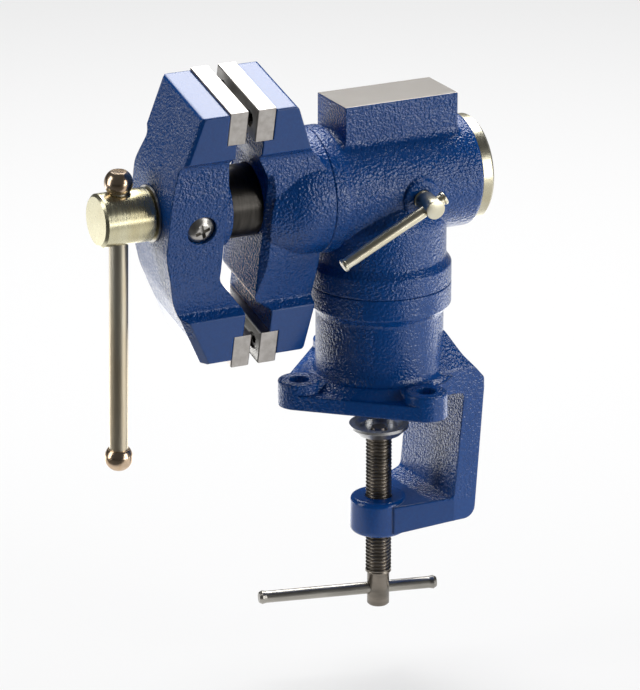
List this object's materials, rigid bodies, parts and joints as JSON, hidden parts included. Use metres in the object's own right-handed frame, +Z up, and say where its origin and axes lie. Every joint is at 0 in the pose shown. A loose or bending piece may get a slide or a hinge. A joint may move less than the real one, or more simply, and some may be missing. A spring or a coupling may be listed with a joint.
{
  "type": "articulating vise",
  "caption": "Clamp-on bench vise that swivels on its base and rolls its head, with short and long jaws on opposite sides and an anvil.",
  "frame": {"origin": "centre of the base's underside, on the swivel axis", "axes": "+Z up the swivel axis, +X towards the rear of the barrel, away from the jaws"},
  "size_m": [0.2167, 0.1202, 0.3129],
  "materials": {
    "blue_enamel": "gloss",
    "ground_steel": "ground",
    "yellow_zinc": "satin",
    "bright_zinc": "bright",
    "copper_finish": "satin",
    "dark_steel": "oiled",
    "plain_steel": "satin"
  },
  "bodies": {
    "base": {"base_casting": "blue_enamel"},
    "swivel": {"swivel_casting": "blue_enamel", "pivot_bolt": "bright_zinc", "pivot_washer": "bright_zinc"},
    "head": {"fixed_jaw": "blue_enamel", "guide_key": "plain_steel", "main_nut": "plain_steel", "end_cap": "yellow_zinc", "end_cap_screws": "bright_zinc", "upper_plate_fixed": "ground_steel", "lower_plate_fixed": "ground_steel", "fixed_plate_screws": "dark_steel"},
    "slide": {"moving_jaw": "blue_enamel", "slide_tube": "dark_steel", "tube_screw": "bright_zinc", "upper_plate_moving": "ground_steel", "lower_plate_moving": "ground_steel", "moving_plate_screws": "dark_steel"},
    "screw": {"main_screw": "yellow_zinc", "thrust_washer": "plain_steel", "retaining_collar": "plain_steel", "collar_pin": "dark_steel"},
    "handle": {"handle_bar": "yellow_zinc", "handle_ball_top": "copper_finish", "handle_ball_bottom": "copper_finish"},
    "head_lock": {"head_lock_screw": "yellow_zinc"},
    "head_lock_arm": {"head_lock_lever": "yellow_zinc"},
    "swivel_lock": {"swivel_lock_screw": "yellow_zinc"},
    "swivel_lock_arm": {"swivel_lock_lever": "yellow_zinc"},
    "pad": {"clamp_pad": "bright_zinc"},
    "clamp": {"clamp_screw": "dark_steel"},
    "clamp_arm": {"clamp_bar": "plain_steel"}
  },
  "joints": [
    {"name": "base_swivel", "type": "hinge", "parent": "base", "child": "swivel", "pos_m": [0, 0, 0.0615], "axis": [0, 0, 1], "continuous": true},
    {"name": "head_roll", "type": "hinge", "parent": "swivel", "child": "head", "pos_m": [0, 0, 0.1165], "axis": [1, 0, 0], "continuous": true},
    {"name": "jaw_slide", "type": "slide", "parent": "head", "child": "slide", "axis": [1, 0, 0], "range_m": [-0.05, 0.0048]},
    {"name": "main_screw_turn", "type": "hinge", "parent": "slide", "child": "screw", "pos_m": [-0.13375, 0, 0.1165], "axis": [1, 0, 0], "range_deg": [-4501, 433]},
    {"name": "handle_slide", "type": "slide", "parent": "screw", "child": "handle", "axis": [0, -0.0349, 0.9994], "range_m": [0, 0.113]},
    {"name": "head_lock_turn", "type": "hinge", "parent": "swivel", "child": "head_lock", "pos_m": [0.0086, -0.04162, 0.11213], "axis": [0, -0.9945, -0.1045], "range_deg": [0, 28]},
    {"name": "head_lock_lever_slide", "type": "slide", "parent": "head_lock", "child": "head_lock_arm", "axis": [0.8838, -0.0489, 0.4654], "range_m": [0, 0.047]},
    {"name": "swivel_lock_turn", "type": "hinge", "parent": "base", "child": "swivel_lock", "pos_m": [-0.00256, 0.04578, 0.022], "axis": [0.0558, -0.9984, 0], "range_deg": [0, 15]},
    {"name": "swivel_lock_lever_slide", "type": "slide", "parent": "swivel_lock", "child": "swivel_lock_arm", "axis": [-0.9984, -0.0558, 0], "range_m": [0, 0.047]},
    {"name": "clamp_feed", "type": "slide", "parent": "base", "child": "pad", "axis": [0, 0, 1], "range_m": [-0.034, 0.0192]},
    {"name": "clamp_screw_turn", "type": "hinge", "parent": "pad", "child": "clamp", "pos_m": [0, 0, -0.0255], "axis": [0, 0, 1], "range_deg": [-6122, 3458]},
    {"name": "clamp_bar_slide", "type": "slide", "parent": "clamp", "child": "clamp_arm", "axis": [0.9744, -0.225, 0], "range_m": [-0.022, 0.056]}
  ],
  "couplings": [
    {"joint": "main_screw_turn", "follows": "jaw_slide", "rad_per_m": 1570.8},
    {"joint": "clamp_screw_turn", "follows": "clamp_feed", "rad_per_m": 3141.6}
  ]
}
